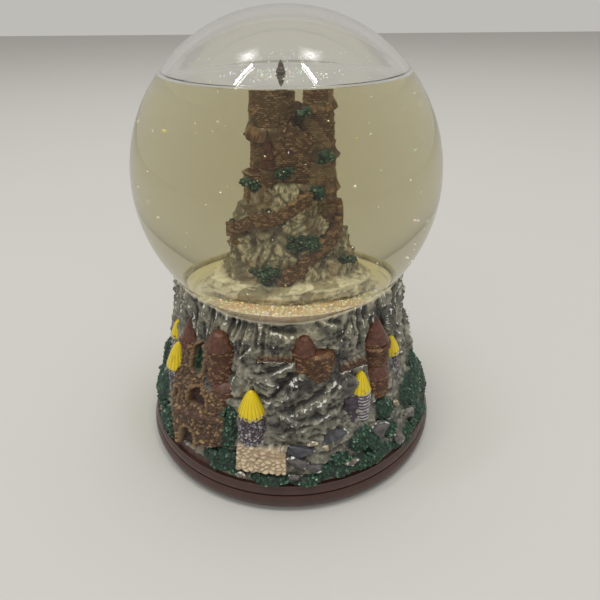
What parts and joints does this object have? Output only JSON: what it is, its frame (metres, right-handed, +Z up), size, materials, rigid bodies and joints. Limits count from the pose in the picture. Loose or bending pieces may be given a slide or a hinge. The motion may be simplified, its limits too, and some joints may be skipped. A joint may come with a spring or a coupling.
{
  "type": "snow globe",
  "caption": "Glass ball of water with a castle inside, on a round rock base with castles and turrets in relief, a ring plinth and a wind-up musical movement.",
  "frame": {"origin": "centre of the base where its feet stand on the table", "axes": "+Z up, the front with the dome-roofed towers toward -Y, +X to the viewer's right"},
  "size_m": [0.112, 0.112, 0.1465],
  "materials": {
    "glass": "clear blown glass",
    "water": "aged pale yellow liquid",
    "rubber": "matt black rubber",
    "silicone": "white silicone",
    "adhesive": "clear yellowed adhesive",
    "figurine_resin": "hand-painted resin",
    "glitter": "reflective flakes",
    "rock_resin": "hand-painted and dry-brushed resin",
    "plinth_resin": "satin brown paint",
    "black_plastic": "moulded plastic",
    "steel": "plated steel",
    "spring_steel": "blued spring steel",
    "brass": "brass",
    "zinc": "gilt zinc casting",
    "nylon": "moulded nylon"
  },
  "bodies": {
    "globe_and_base": {"glass_globe": "glass", "liquid": "water", "globe_plug": "rubber", "plug_seal_ring": "silicone", "globe_bond_ring": "adhesive", "castle_figurine": "figurine_resin", "glitter_flakes": "glitter", "rock_base": "rock_resin", "plinth": "plinth_resin", "foot_pad_1": "rubber", "foot_pad_2": "rubber", "foot_pad_3": "rubber", "foot_pad_4": "rubber", "bottom_cover": "black_plastic", "cover_screws": "steel", "movement_screws": "steel", "bedplate": "zinc", "spring_housing": "steel", "housing_screws": "steel", "mainspring": "spring_steel", "left_bracket": "steel", "right_bracket": "steel", "bracket_screws": "steel", "comb": "spring_steel", "comb_screws": "steel", "governor_frame": "zinc", "governor_screw": "steel", "governor_endstone": "steel"},
    "key": {"winding_key": "brass", "winding_arbor": "steel"},
    "crown": {"crown_wheel": "brass"},
    "drum": {"drum_shaft": "steel", "drum_tube": "brass", "drum_pins": "steel", "drum_hub": "nylon", "drum_pinion": "brass", "drum_wheel": "nylon"},
    "governor_first": {"governor_wheel": "nylon", "governor_wheel_arbor": "steel"},
    "governor_last": {"governor_worm": "steel", "governor_fan": "brass"}
  },
  "joints": [
    {"name": "key_turn", "type": "hinge", "parent": "globe_and_base", "child": "key", "pos_m": [0, 0, 0.006], "axis": [0, 0, 1], "range_deg": [0, 2160]},
    {"name": "drum_turn", "type": "hinge", "parent": "globe_and_base", "child": "drum", "pos_m": [0.02, 0, 0.02905], "axis": [1, 0, 0], "continuous": true},
    {"name": "crown_turn", "type": "hinge", "parent": "globe_and_base", "child": "crown", "pos_m": [0, 0, 0.024], "axis": [0, 0, 1], "continuous": true},
    {"name": "governor_wheel_turn", "type": "hinge", "parent": "globe_and_base", "child": "governor_first", "pos_m": [0.0302, 0.008, 0.02905], "axis": [1, 0, 0], "continuous": true},
    {"name": "fan_turn", "type": "hinge", "parent": "globe_and_base", "child": "governor_last", "pos_m": [0.0302, 0.01368, 0.02], "axis": [0, 0, 1], "continuous": true}
  ],
  "couplings": [
    {"joint": "crown_turn", "follows": "drum_turn", "ratio": 0.33333},
    {"joint": "governor_wheel_turn", "follows": "drum_turn", "ratio": -4},
    {"joint": "fan_turn", "follows": "drum_turn", "ratio": 96}
  ]
}
